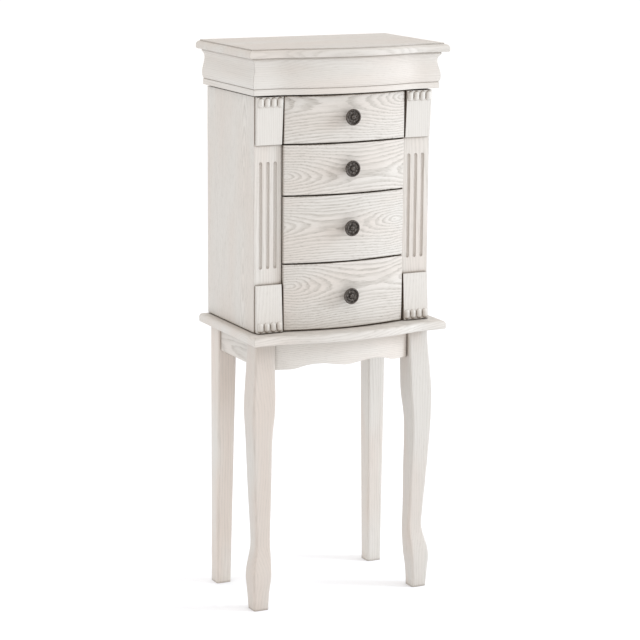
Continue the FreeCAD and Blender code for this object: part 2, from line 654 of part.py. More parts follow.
def corbel():
    """Wedge block at the foot of a pilaster, thick at the bottom, over a row of beads."""
    profile = [V(0, CASE_FRONT, DOOR_BOTTOM), V(0, CASE_FRONT - CORBEL_THICK, DOOR_BOTTOM),
               V(0, CASE_FRONT - CORBEL_THIN, DOOR_BOTTOM + CORBEL_HEIGHT),
               V(0, CASE_FRONT, DOOR_BOTTOM + CORBEL_HEIGHT)]
    wedge = Part.Face(Part.makePolygon(profile + profile[:1]))
    width = PILASTER_WIDTH - 2 * CORBEL_INSET
    solid = wedge.extrude(V(width, 0, 0)).translated(V(PILASTER_X + CORBEL_INSET, 0, 0))
    middle = SIDE - PILASTER_WIDTH / 2
    y = CASE_FRONT - CORBEL_THICK - BEAD_PROUD + BEAD_RADIUS
    for index in range(BEAD_COUNT):
        x = middle + (index - (BEAD_COUNT - 1) / 2) * BEAD_PITCH
        low, high = DOOR_BOTTOM + BEAD_RADIUS, DOOR_BOTTOM + BEAD_HEIGHT - BEAD_RADIUS
        bead = rod((x, y, low), (0, 0, 1), BEAD_RADIUS, high - low)
        for z in (low, high):
            bead = bead.fuse(Part.makeSphere(BEAD_RADIUS, V(x, y, z)))
        solid = solid.fuse(bead)
    return solid


def corbels():
    """The pilaster's two corbels: the upper one is the lower one turned over."""
    lower = corbel()
    upper = lower.mirror(V(0, 0, (DOOR_BOTTOM + DOOR_TOP) / 2), V(0, 0, 1))
    return [lower, upper]


def hook_rail_place():
    """Front end and top of the hook rail."""
    return STILE_BACK + HOOK_RAIL_END_CLEAR, DOOR_TOP - HOOK_RAIL_DROP


def hook_rail():
    front, top = hook_rail_place()
    return block(DOOR_INNER - HOOK_RAIL_THICK, DOOR_INNER, front, front + HOOK_RAIL_LENGTH,
                 top - HOOK_RAIL_HEIGHT, top)


def hooks():
    """A row of small upturned pegs on the rail."""
    front, top = hook_rail_place()
    x = DOOR_INNER - HOOK_RAIL_THICK
    z = top - HOOK_RAIL_HEIGHT / 2
    pitch = (HOOK_RAIL_LENGTH - 2 * HOOK_END_MARGIN) / (HOOK_COUNT - 1)
    pegs = []
    for index in range(HOOK_COUNT):
        y = front + HOOK_END_MARGIN + index * pitch
        peg = rod((x - HOOK_REACH, y, z), (1, 0, 0), HOOK_RADIUS, HOOK_REACH)
        peg = peg.fuse(Part.makeSphere(HOOK_RADIUS, V(x - HOOK_REACH, y, z)))
        peg = peg.fuse(rod((x - HOOK_REACH, y, z), (0, 0, 1), HOOK_RADIUS, HOOK_TIP))
        pegs.append(peg.fuse(Part.makeSphere(HOOK_RADIUS, V(x - HOOK_REACH, y, z + HOOK_TIP))))
    return pegs


def strike_plate():
    width, depth, height = MAGNET_SIZE
    middle = (DOOR_BOTTOM + DOOR_TOP) / 2
    x = PILASTER_X + CORBEL_INSET
    return block(x, x + width, STILE_BACK, STILE_BACK + STRIKE_THICK,
                 middle - height / 2, middle + height / 2)


def save_doors():
    fixed, moving = door_hinges()
    save("door_hinge_leaves_fixed", fixed + [mirrored(leaf) for leaf in fixed])
    makers = (("panel", door_panel()), ("stile", door_stile()), ("corbels", corbels()),
              ("hook_rail", hook_rail()), ("hooks", hooks()), ("hinge_leaves", moving),
              ("strike_plate", strike_plate()))
    for name, piece in makers:
        group = piece if isinstance(piece, list) else [piece]
        save("door_right_" + name, group)
        save("door_left_" + name, [mirrored(solid) for solid in group])


# ---- Drawers -------------------------------------------------------------------------------------
def knob_height(index):
    bottom, top = front_span(index)
    return bottom + (top - bottom) * KNOB_LIFTS[index]


def front_apex():
    return BOW_CENTRE - DRAWER_RADIUS


def screw_hole(index):
    """Hole for the knob screw through the front and the drawer box's front board."""
    depth = FRONT_FLAT - front_apex() + BOX_WALL
    return rod((0, front_apex(), knob_height(index)), (0, 1, 0), SCREW_RADIUS + SCREW_CLEAR, depth)


def drawer_front(index):
    """Solid bowed front with a flat back and eased edges."""
    bottom, top = front_span(index)
    turn = math.degrees(math.asin(HALF_FRONT / DRAWER_RADIUS))
    curve = arc((0, BOW_CENTRE), DRAWER_RADIUS, -90 - turn, -90 + turn)
    left, right = curve.firstVertex(True).Point, curve.lastVertex(True).Point
    back_left, back_right = V(-HALF_FRONT, FRONT_FLAT, 0), V(HALF_FRONT, FRONT_FLAT, 0)
    wire = Part.Wire([curve, Part.makeLine(right, back_right), Part.makeLine(back_right, back_left),
                      Part.makeLine(back_left, left)])
    front = Part.Face(wire).extrude(V(0, 0, top - bottom)).translated(V(0, 0, bottom))
    eased = [edge for edge in front.Edges if edge.BoundBox.YMax < FRONT_FLAT - FRONT_BACK / 2]
    return front.makeFillet(FRONT_EASE, eased).cut(screw_hole(index))


def drawer_box(index):
    """Two sides, a front board, a back board and a floor, as separate boards."""
    bottom, top = box_span(index)
    rear = FRONT_FLAT + BOX_LENGTH
    inner = HALF_BOX - BOX_WALL
    side = block(inner, HALF_BOX, FRONT_FLAT, rear, bottom, top)
    front = block(-inner, inner, FRONT_FLAT, FRONT_FLAT + BOX_WALL, bottom, top)
    back = block(-inner, inner, rear - BOX_WALL, rear, bottom, top)
    floor = block(-inner, inner, FRONT_FLAT + BOX_WALL, rear - BOX_WALL, bottom, bottom + BOX_FLOOR)
    return both_sides(side) + [front.cut(screw_hole(index)), back, floor]


def knob_profile():
    """Half section of a knob about its axis, as (radius, reach from the drawer front)."""
    rim = KNOB_RADIUS
    return ((0, 0), (7.0, 0), (7.0, 1.8), (4.6, 3.0), (4.2, KNOB_REACH - 9.5),
            (6.5, KNOB_REACH - 7.4), (rim - 1.2, KNOB_REACH - 5.6), (rim, KNOB_REACH - 4.2),
            (rim, KNOB_REACH - 2), (rim - 1.4, KNOB_REACH - 1), (rim - 3.2, KNOB_REACH - 1),
            (rim - 4.6, KNOB_REACH - 3.2), (5.0, KNOB_REACH - 3.6), (4.0, KNOB_REACH - 1.6),
            (2.6, KNOB_REACH - 1.2), (2.0, KNOB_REACH), (0, KNOB_REACH))


def knob(index):
    """Dished round knob, turned about its screw's axis, and the screw."""
    z = knob_height(index)
    points = [V(radius, front_apex() - reach, 0) for radius, reach in knob_profile()]
    half = Part.Face(Part.makePolygon(points + points[:1]))
    turned = half.revolve(V(0, 0, 0), V(0, 1, 0), 360)
    turned.translate(V(0, 0, z))
    socket = rod((0, front_apex() - SCREW_BITE, z), (0, 1, 0), SCREW_RADIUS, SCREW_BITE)
    head_seat = FRONT_FLAT + BOX_WALL
    screw = rod((0, front_apex() - SCREW_BITE, z), (0, 1, 0), SCREW_RADIUS,
                SCREW_BITE + head_seat - front_apex())
    screw = screw.fuse(rod((0, head_seat, z), (0, 1, 0), 2 * SCREW_RADIUS, SCREW_RADIUS))
    return [turned.cut(socket), screw]


def save_drawers():
    for index in range(len(DRAWER_SPLITS)):
        name = "drawer_" + str(len(DRAWER_SPLITS) - index)
        save(name + "_front", drawer_front(index))
        save(name + "_box", drawer_box(index))
        save(name + "_knob", knob(index))


# ---- Lid -----------------------------------------------------------------------------------------
def lid_top():
    """Bowed slab with a quarter-round edge and a raised field that stops short of it."""
    half = LID_WIDTH / 2
    shoulder = LID_TOP - LID_TOP_STEP
    slab = bowed_plate(half, LID_FRONT, LID_BOW, 0, LID_UNDER, shoulder)
    slab = slab.makeFillet(LID_EDGE_ROUND, rim_edges(slab, shoulder))
    slab = slab.makeFillet(LID_UNDER_ROUND, rim_edges(slab, LID_UNDER))
    field = bowed_plate(half, LID_FRONT, LID_BOW, LID_STEP_INSET, shoulder, LID_TOP)
    return slab.fuse(field).removeSplitter()


def cornice_profile():
    """The cornice's section: a plain fillet below and a cyma above, flat at the back."""
    fillet = [V(0, inset, LID_BOTTOM + height) for inset, height in FILLET]
    bends = [V(0, inset, LID_BOTTOM + height) for inset, height in CYMA]
    cyma = Part.BSplineCurve()
    cyma.interpolate(Points=bends, InitialTangent=V(0, -1, CYMA_LEANS[0]),
                     FinalTangent=V(0, -1, CYMA_LEANS[1]))
    top = [bends[-1], V(0, bends[-1].y, LID_UNDER), V(0, MOULDING_DEPTH, LID_UNDER),
           V(0, MOULDING_DEPTH, LID_BOTTOM), fillet[0]]
    edges = [Part.makeLine(a, b) for a, b in zip(fillet, fillet[1:])]
    edges.append(cyma.toShape())
    edges += [Part.makeLine(a, b) for a, b in zip(top, top[1:])]
    return Part.Face(Part.Wire(edges))


def mitre(front_piece):
    """The wood beyond the 45 degree mitre at the right-hand front corner, for one of its pieces."""
    half = LID_WIDTH / 2
    reach = 2 * MOULDING_DEPTH
    outside = (half + reach, LID_FRONT - reach)
    inside = (half - 2 * reach, LID_FRONT + 2 * reach)
    third = (outside[0], inside[1]) if front_piece else (inside[0], outside[1])
    return prism((outside, inside, third), LID_BOTTOM - 1, LID_TOP + 1)


def lid_front_moulding():
    """Cornice along the bowed front, filled solid to the flat face of the lid's frame."""
    half = LID_WIDTH / 2
    moulding = bowed_moulding(cornice_profile(), half, LID_FRONT, LID_BOW)
    core = bowed_plate(half, LID_FRONT, LID_BOW, MOULDING_CORE, LID_BOTTOM, LID_UNDER)
    behind = block(-half, half, LID_FRONT + MOULDING_DEPTH, BACK, LID_BOTTOM, LID_UNDER)
    moulding = moulding.fuse(core.cut(behind)).cut(mitre(True)).cut(mirrored(mitre(True)))
    return moulding.removeSplitter()


def lid_side_moulding():
    """Cornice along the right-hand end, mitred at the front and square at the back."""
    profile = cornice_profile()
    profile.rotate(V(0, 0, 0), V(0, 0, 1), 90)
    start = profile.translated(V(LID_WIDTH / 2, LID_FRONT, 0))
    return start.extrude(V(0, BACK - LID_FRONT, 0)).cut(mitre(False))


def lid_frame():
    """Four boards that make the lid's box, inside the cornice."""
    half = LID_WIDTH / 2 - MOULDING_DEPTH
    front = LID_FRONT + MOULDING_DEPTH
    side = block(half - FRAME_BOARD, half, front, BACK, LID_BOTTOM, LID_UNDER)
    inner = half - FRAME_BOARD
    front_board = block(-inner, inner, front, front + FRAME_BOARD, LID_BOTTOM, LID_UNDER)
    back_board = block(-inner, inner, BACK - FRAME_BOARD, BACK, LID_BOTTOM, LID_UNDER)
    return both_sides(side) + [front_board, back_board]


def mirror_glass():
    width, depth, thick = MIRROR_SIZE
    y = BACK - MIRROR_CENTRE
    return block(-width / 2, width / 2, y - depth / 2, y + depth / 2, LID_UNDER - thick, LID_UNDER)


def mirror_frame():
    """Four strips round the mirror, rebated to hold its edges."""
    width, depth, thick = MIRROR_SIZE
    y = BACK - MIRROR_CENTRE
    low, high = LID_UNDER - MIRROR_FRAME_THICK, LID_UNDER
    half_w, half_d = width / 2, depth / 2
    side = block(half_w - MIRROR_LIP, half_w + MIRROR_FRAME, y - half_d - MIRROR_FRAME,
                 y + half_d + MIRROR_FRAME, low, high)
    strips = both_sides(side)
    inner = half_w - MIRROR_LIP
    for start in (y - half_d - MIRROR_FRAME, y + half_d - MIRROR_LIP):
        strips.append(block(-inner, inner, start, start + MIRROR_FRAME + MIRROR_LIP, low, high))
    rebate = block(-half_w - MIRROR_CLEAR, half_w + MIRROR_CLEAR, y - half_d - MIRROR_CLEAR,
                   y + half_d + MIRROR_CLEAR, high - thick - MIRROR_CLEAR, high)
    return [strip.cut(rebate) for strip in strips]


def save_lid():
    save("lid_top", lid_top())
    save("lid_front_moulding", lid_front_moulding())
    save("lid_side_moulding_right", lid_side_moulding())
    save("lid_side_moulding_left", mirrored(lid_side_moulding()))
    save("lid_frame", lid_frame())
    save("mirror_frame", mirror_frame())
    save("lid_mirror", mirror_glass())
    fixed, moving = lid_hinges()
    save("lid_hinge_leaves_fixed", fixed)
    save("lid_hinge_leaves", moving)


os.makedirs("parts", exist_ok=True)
save_stand()
save_case()
save_doors()
save_drawers()
save_lid()
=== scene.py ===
import math

import bpy
import numpy as np
from mathutils import Euler, Matrix, Vector


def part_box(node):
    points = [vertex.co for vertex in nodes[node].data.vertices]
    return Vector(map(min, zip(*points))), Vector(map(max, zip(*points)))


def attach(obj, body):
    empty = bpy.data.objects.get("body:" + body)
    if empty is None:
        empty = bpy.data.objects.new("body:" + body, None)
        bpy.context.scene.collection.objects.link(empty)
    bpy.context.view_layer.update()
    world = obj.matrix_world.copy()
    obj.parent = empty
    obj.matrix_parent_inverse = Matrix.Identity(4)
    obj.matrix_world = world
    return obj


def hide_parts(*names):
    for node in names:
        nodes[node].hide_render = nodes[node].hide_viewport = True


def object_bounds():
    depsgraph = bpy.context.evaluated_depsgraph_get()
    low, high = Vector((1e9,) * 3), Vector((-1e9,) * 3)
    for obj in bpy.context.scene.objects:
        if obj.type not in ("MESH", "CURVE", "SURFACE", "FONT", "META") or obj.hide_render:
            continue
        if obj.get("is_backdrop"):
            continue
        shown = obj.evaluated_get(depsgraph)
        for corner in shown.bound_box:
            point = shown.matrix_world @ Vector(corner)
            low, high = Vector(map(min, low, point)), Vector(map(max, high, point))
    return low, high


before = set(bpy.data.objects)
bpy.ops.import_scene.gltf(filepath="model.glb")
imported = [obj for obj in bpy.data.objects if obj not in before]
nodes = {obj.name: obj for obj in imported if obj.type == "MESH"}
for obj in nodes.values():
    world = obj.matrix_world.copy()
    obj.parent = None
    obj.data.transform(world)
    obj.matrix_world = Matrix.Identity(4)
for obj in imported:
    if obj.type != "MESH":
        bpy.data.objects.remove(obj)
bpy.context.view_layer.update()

scene = bpy.context.scene


# ---- Studio ----------------------------------------------------------------------------------------
# A white studio: an even white surround, a soft key from the front right, a weaker side light from
# the left, and a plain pale floor.  The camera stands a little left of the front, just above eye level
# of the drawers, with a long lens.
CAMERA_AZIMUTH = math.radians(-26.36)
CAMERA_ELEVATION = math.radians(11.90)
CAMERA_ROLL = math.radians(0.43)
CAMERA_DISTANCE = 4.095
CAMERA_SIDESTEP = -0.0141
CAMERA_AIM = Vector((0, -0.0165, 0.5088))
LENS = 127.06

back = Vector((math.sin(CAMERA_AZIMUTH) * math.cos(CAMERA_ELEVATION),
               -math.cos(CAMERA_AZIMUTH) * math.cos(CAMERA_ELEVATION), math.sin(CAMERA_ELEVATION)))
level = Vector((math.cos(CAMERA_AZIMUTH), math.sin(CAMERA_AZIMUTH), 0))
upward = back.cross(level)
right = level * math.cos(CAMERA_ROLL) + upward * math.sin(CAMERA_ROLL)
top = upward * math.cos(CAMERA_ROLL) - level * math.sin(CAMERA_ROLL)
turn = Matrix((right, top, back)).transposed().to_4x4()
camera = bpy.data.objects.new("camera", bpy.data.cameras.new("camera"))
camera.data.lens = LENS
camera.data.sensor_width = 36
camera.data.clip_end = 50
camera.matrix_world = Matrix.Translation(CAMERA_AIM + back * CAMERA_DISTANCE
                                         + right * CAMERA_SIDESTEP) @ turn
scene.collection.objects.link(camera)
scene.camera = camera
scene.view_settings.view_transform = "Standard"

world = bpy.data.worlds.new("studio")
world.use_nodes = True
world.node_tree.nodes["Background"].inputs["Color"].default_value = (1.0, 0.975, 0.960, 1)
world.node_tree.nodes["Background"].inputs["Strength"].default_value = 1.09
scene.world = world


def soft_light(name, place, aim, size, watts, colour):
    """A square area light at place that faces aim."""
    light = bpy.data.lights.new(name, "AREA")
    light.size = size
    light.energy = watts
    light.color = colour
    lamp = bpy.data.objects.new(name, light)
    lamp.matrix_world = Matrix.Translation(place) @ (Vector(place) - Vector(aim)).to_track_quat(
        "Z", "Y").to_matrix().to_4x4()
    scene.collection.objects.link(lamp)


soft_light("key", (2.9, -1.6, 1.6), (0, 0, 0.6), 1.0, 70, (0.80, 0.90, 1.0))
soft_light("side", (-2.6, 0.3, 1.2), (0, 0, 0.6), 1.4, 9, (0.66, 0.84, 1.0))


def floor_mesh():
    """A flat square, 12 m wide, on z = 0."""
    half = 6.0
    mesh = bpy.data.meshes.new("floor")
    mesh.from_pydata([(-half, -half, 0), (half, -half, 0), (half, half, 0), (-half, half, 0)], [],
                     [(0, 1, 2, 3)])
    return mesh


floor_paper = bpy.data.materials.new("pale_floor")
floor_paper.use_nodes = True
floor_paper.node_tree.nodes["Principled BSDF"].inputs["Base Color"].default_value = (0.96, 0.97, 0.99, 1)
floor_paper.node_tree.nodes["Principled BSDF"].inputs["Roughness"].default_value = 0.9
floor = bpy.data.objects.new("floor", floor_mesh())
floor.data.materials.append(floor_paper)
scene.collection.objects.link(floor)
floor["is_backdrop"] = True


# ---- Whitewashed oak -------------------------------------------------------------------------------
# Open-grain oak that was brushed, washed with thin white paint, wiped with taupe glazing that stays in
# the pores and hollows, and sealed with a satin lacquer.  Its colour is also darkened by painted shade
# in corners, creases and under neighbouring parts, and some parts get a lighter or darker wash as painted
# light and shade.  Every board is cut from its own place in the log, so each has its own run of rings.
WASH = (0.610, 0.581, 0.541)
LATEWOOD = (0.440, 0.408, 0.365)
PORE = (0.320, 0.288, 0.248)
BLUSH = (0.600, 0.528, 0.470)
# The two colours below darken corners and creases: partly real glaze, partly painted shade.
STAIN_AND_CORNER_SHADE = (0.360, 0.298, 0.235)
GLAZE_AND_CREASE_SHADE = (0.150, 0.112, 0.080)


def grow(tree, kind, **values):
    """Add a shader node; values set its inputs by name, or its own settings."""
    made = tree.nodes.new(kind)
    for key, value in values.items():
        name = key.replace("_", " ").title() if key.islower() else key
        if hasattr(made, key):
            setattr(made, key, value)
        else:
            made.inputs[name].default_value = value
    return made


def reckon(tree, operation, first, second=None, third=None):
    """A math node: each term is a number or another node's output."""
    made = tree.nodes.new("ShaderNodeMath")
    made.operation = operation
    for socket, term in zip(made.inputs, (first, second, third)):
        if isinstance(term, (int, float)):
            socket.default_value = term
        elif term is not None:
            tree.links.new(term, socket)
    return made.outputs[0]


def blend_colour(tree, share, first, second):
    """Mix two colours; each is a tuple or another node's output."""
    made = tree.nodes.new("ShaderNodeMix")
    made.data_type = "RGBA"
    for socket, term in ((made.inputs[6], first), (made.inputs[7], second)):
        if isinstance(term, tuple):
            socket.default_value = (*term, 1)
        else:
            tree.links.new(term, socket)
    tree.links.new(share, made.inputs[0])
    return made.outputs[2]


def stretched_noise(tree, vector, scale, detail, rough=0.5):
    """Noise whose cells are stretched by different scales along the three axes, per metre."""
    spread = grow(tree, "ShaderNodeVectorMath", operation="MULTIPLY")
    tree.links.new(vector, spread.inputs[0])
    spread.inputs[1].default_value = scale
    noise = grow(tree, "ShaderNodeTexNoise", Scale=1.0, Detail=detail, Roughness=rough)
    tree.links.new(spread.outputs[0], noise.inputs["Vector"])
    return noise.outputs["Fac"]


def threshold(tree, value, low, high):
    """0 below low, 1 above high and smooth between."""
    made = tree.nodes.new("ShaderNodeMapRange")
    made.interpolation_type = "SMOOTHSTEP"
    tree.links.new(value, made.inputs["Value"])
    made.inputs["From Min"].default_value = low
    made.inputs["From Max"].default_value = high
    return made.outputs[0]


ALONG = {"x": Euler((0, 0, 0)), "y": Euler((0, 0, -math.pi / 2)), "z": Euler((0, math.pi / 2, 0))}


def washed_oak(name, along, heart, tilt=(0.05, 0.02), rings=230.0, figure=1.0, glaze_and_shade=1.0,
               tone_and_light=1.0, blush=0.5):
    """Oak whose grain runs along one axis.  heart is the point that the rings are centred on, and
    tilt leans the log's axis against the board, which opens the rings into cathedrals.  A ring's
    number is its distance from the log's axis times rings, plus a slow waver; its last part is dark
    latewood.  Pores are thin streaks along the grain, thickest in the latewood.  tone darkens the
    wash and blush is how far it turns pink in patches."""
    material = bpy.data.materials.new(name)
    material.use_nodes = True
    tree = material.node_tree
    shader = tree.nodes["Principled BSDF"]
    place = tree.nodes.new("ShaderNodeTexCoord")
    shift = grow(tree, "ShaderNodeVectorMath", operation="SUBTRACT")
    tree.links.new(place.outputs["Object"], shift.inputs[0])
    shift.inputs[1].default_value = heart
    lean = Euler((0, tilt[1], tilt[0])).to_matrix() @ ALONG[along].to_matrix()
    rotate = tree.nodes.new("ShaderNodeMapping")
    rotate.inputs["Rotation"].default_value = lean.to_euler()
    tree.links.new(shift.outputs[0], rotate.inputs["Vector"])
    board = rotate.outputs[0]

    across = grow(tree, "ShaderNodeVectorMath", operation="MULTIPLY")
    tree.links.new(board, across.inputs[0])
    across.inputs[1].default_value = (0, 1, 1)
    distance = grow(tree, "ShaderNodeVectorMath", operation="LENGTH")
    tree.links.new(across.outputs[0], distance.inputs[0])
    waver = stretched_noise(tree, board, (5, 26, 26), 2.0)
    jag = stretched_noise(tree, board, (34, 260, 260), 3.0, 0.65)
    count = reckon(tree, "MULTIPLY_ADD", distance.outputs["Value"], rings,
                   reckon(tree, "MULTIPLY_ADD", waver, 3.2, reckon(tree, "MULTIPLY", jag, 0.6)))
    ring = reckon(tree, "FRACT", count)
    late = reckon(tree, "MULTIPLY", threshold(tree, ring, 0.25, 0.85),
                  reckon(tree, "SUBTRACT", 1.0, threshold(tree, ring, 0.88, 1.0)))
    streak = stretched_noise(tree, board, (16, 950, 950), 3.0, 0.6)
    pores = reckon(tree, "MULTIPLY", threshold(tree, streak, 0.50, 0.66),
                   reckon(tree, "MULTIPLY_ADD", late, 0.80, 0.20))
    fleck = threshold(tree, stretched_noise(tree, board, (9, 210, 210), 2.0), 0.45, 0.75)
    cloud = threshold(tree, stretched_noise(tree, board, (3.5, 15, 15), 2.0), 0.38, 0.68)

    # The wash is scaled per part: partly the wood's own tone, partly painted light and shade where parts
    # of the same oak are made lighter or darker for how brightly they are lit.
    wash, pink = (tuple(part * tone_and_light for part in paint) for paint in (WASH, BLUSH))
    colour = blend_colour(tree, reckon(tree, "MULTIPLY", cloud, blush), wash, pink)
    colour = blend_colour(tree, reckon(tree, "MULTIPLY", late, 0.56 * figure), colour, LATEWOOD)
    colour = blend_colour(tree, reckon(tree, "MULTIPLY", fleck, 0.22 * figure), colour, LATEWOOD)
    colour = blend_colour(tree, reckon(tree, "MULTIPLY", pores, 0.55 * figure), colour, PORE)
    # Painted shade: where other surfaces close in within 35 mm (inside corners, under overhangs, against
    # neighbouring parts) the colour turns towards brown; partly real glaze stain, partly shade painted
    # in.
    corner = grow(tree, "ShaderNodeAmbientOcclusion", samples=6, Distance=0.035)
    shade = threshold(tree, reckon(tree, "SUBTRACT", 1.0, corner.outputs["AO"]), 0.12, 0.80)
    colour = blend_colour(tree, reckon(tree, "MULTIPLY", shade, 0.30 * glaze_and_shade), colour, STAIN_AND_CORNER_SHADE)
    # Painted shade: within 8 mm of other surfaces (joints, the gaps round the drawers, where feet meet
    # the floor) the colour goes nearly black-brown; partly glaze held in the joints, partly painted shade
    # and contact shadow.
    hollow = grow(tree, "ShaderNodeAmbientOcclusion", samples=8, Distance=0.008)
    depth = reckon(tree, "SUBTRACT", 1.0, hollow.outputs["AO"])
    crease_glaze_and_shade = reckon(tree, "MULTIPLY", threshold(tree, depth, 0.16, 0.62), 0.9 * glaze_and_shade)
    colour = blend_colour(tree, crease_glaze_and_shade, colour, GLAZE_AND_CREASE_SHADE)
    tree.links.new(colour, shader.inputs["Base Color"])
    tree.links.new(reckon(tree, "MULTIPLY_ADD", pores, 0.25, 0.50), shader.inputs["Roughness"])
    shader.inputs["Specular IOR Level"].default_value = 0.35

    relief = reckon(tree, "MULTIPLY_ADD", pores, -1.0, reckon(tree, "MULTIPLY", late, -0.25))
    edge = grow(tree, "ShaderNodeBevel", samples=4, Radius=0.0009)
    bump = grow(tree, "ShaderNodeBump", Strength=0.45 * figure, Distance=0.0004)
    tree.links.new(relief, bump.inputs["Height"])
    tree.links.new(edge.outputs[0], bump.inputs["Normal"])
    tree.links.new(bump.outputs[0], shader.inputs["Normal"])
    return material


def finish_node(name, material):
    """Give a kept piece its finish."""
    for place in nodes[name].material_slots:
        place.material = material


def middle(name):
    low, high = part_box(name)
    return (low + high) / 2


# ---- Stand -----------------------------------------------------------------------------------------
# A separate table that carries the case: a bowed top with a rounded edge on two cabriole front legs
# and two straight tapered rear legs, joined by aprons that are glued, blocked and bolted to the legs.
finish_node("stand_top", washed_oak("oak_stand_top", "x", (0.31, -0.10, 0.47), (0.03, 0.09),
                                   230.0, 0.6))
apron_middle = middle("front_apron")
# The front apron's wash is made 8% lighter: painted light, brightening it against the shade under the
# stand's top.
finish_node("front_apron", washed_oak("oak_front_apron", "x",
                                      (0.3, apron_middle.y + 0.05, apron_middle.z + 0.45),
                                      (0.012, 0.004), 300.0, 0.5, 0.4,
                                      1.08))
for side, sign in (("left", -1), ("right", 1)):
    centre = middle("side_apron_" + side)
    finish_node("side_apron_" + side, washed_oak("oak_side_apron_" + side, "y",
                                                 (centre.x - sign * 0.03, 0.4, centre.z)))
    for end in ("front", "rear"):
        leg = "leg_%s_%s" % (end, side)
        centre = middle(leg)
        heart = (centre.x - sign * 0.4, centre.y + 0.4, 0.3)
        # The front legs get a darker wash (0.93) and the rear legs a lighter one (1.03): partly painted
        # shade and light, for how brightly each leg is lit.
        finish_node(leg, washed_oak("oak_" + leg, "z", heart, (0.01, 0.01), 260.0, 0.4, 0.7,
                                    0.93 if end == "front" else 1.03, 0.95))
finish_node("back_apron", washed_oak("oak_back_apron", "x", (0.4, 0.15, 0.47)))
block_oak = washed_oak("oak_blocks", "z", (0.0, 0.0, 0.2), (0.05, 0.02), 230.0, 0.6)
finish_node("corner_blocks", block_oak)


# ---- Case ------------------------------------------------------------------------------------------
# The fixed box: bottom, two partitions, a framed back panel and the boards over the necklace spaces.
# Inside it is the same oak with a plainer wash.
finish_node("back_panel", washed_oak("oak_back_panel", "z", (0.05, 0.09, 0.4), (0.03, 0.06), 190.0))
finish_node("back_frame", washed_oak("oak_back_frame", "z", (0.3, 0.2, 0.2), (0.04, 0.02), 230.0, 0.8))
inner_oak = washed_oak("oak_inside", "y", (0.4, 0.3, 0.3), (0.03, 0.02), 210.0, 0.7, 0.6)
upright_oak = washed_oak("oak_inside_upright", "z", (0.2, 0.3, 0.3), (0.03, 0.02), 210.0, 0.7, 0.6)
across_oak = washed_oak("oak_inside_across", "x", (0.2, 0.3, 0.3), (0.03, 0.02), 210.0, 0.7, 0.6)
for name in ("case_bottom", "top_boards", "drawer_runners"):
    finish_node(name, inner_oak)
for name in ("partition_left", "partition_right"):
    finish_node(name, upright_oak)
for name in ("tray_front_rail", "tray_dividers"):
    finish_node(name, across_oak)


# ---- Doors -----------------------------------------------------------------------------------------
# Each end of the case is an L-shaped door: a plain oak panel mitred to a fluted pilaster, with a
# carved corbel block glued on above and below the flutes.
for side, sign in (("left", -1), ("right", 1)):
    centre = middle("door_%s_panel" % side)
    finish_node("door_%s_panel" % side,
                washed_oak("oak_panel_" + side, "z", (centre.x - sign * 0.03, 0.02 * sign, 0.35),
                           (0.02, 0.10), 260.0, 0.75))
    centre = middle("door_%s_stile" % side)
    pilaster_oak = washed_oak("oak_pilaster_" + side, "z",
                              (centre.x + 0.05 * sign, centre.y + 0.06, 0.2), (0.03, 0.02), 260.0, 0.5)
    finish_node("door_%s_stile" % side, pilaster_oak)
    finish_node("door_%s_corbels" % side,
                washed_oak("oak_corbels_" + side, "z", (centre.x - 0.03, centre.y + 0.05, 0.1),
                           (0.05, 0.03), 260.0, 0.35, 1.1))
    finish_node("door_%s_hook_rail" % side, inner_oak)


# ---- Drawers ---------------------------------------------------------------------------------------
# Four bowed fronts, each cut from one wide flat-sawn board, so that cathedrals run across them, on
# plain boxes with felt on their floors.
HEARTS = ((0.11, 0.016, 0.030, 0.10), (-0.16, 0.012, -0.012, -0.085), (0.02, 0.018, 0.006, 0.075),
          (-0.10, 0.015, 0.020, -0.11))
for number, (shift, sink, lift, lean) in enumerate(HEARTS, 1):
    name = "drawer_%d" % number
    low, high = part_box(name + "_front")
    heart = (shift, low.y + sink, (low.z + high.z) / 2 + lift)
    finish_node(name + "_front", washed_oak("oak_" + name, "x", heart, (lean, 0.015), 215.0, 1.15))
    finish_node(name + "_box", inner_oak)


def smooth_run(points, count):
    """A Catmull-Rom curve through points: each span is the cubic whose ends have the slope of the
    chord between the neighbouring points."""
    points = np.array(points, float)
    padded = np.vstack([2 * points[0] - points[1], points, 2 * points[-1] - points[-2]])
    where = np.linspace(0, len(points) - 1, count)
    index = np.minimum(where.astype(int), len(points) - 2)
    t = (where - index)[:, None]
    a, b, c, d = (padded[index + step] for step in range(4))
    return 0.5 * (2 * b + (c - a) * t + (2 * a - 5 * b + 4 * c - d) * t ** 2
                  + (3 * b - a - 3 * c + d) * t ** 3)


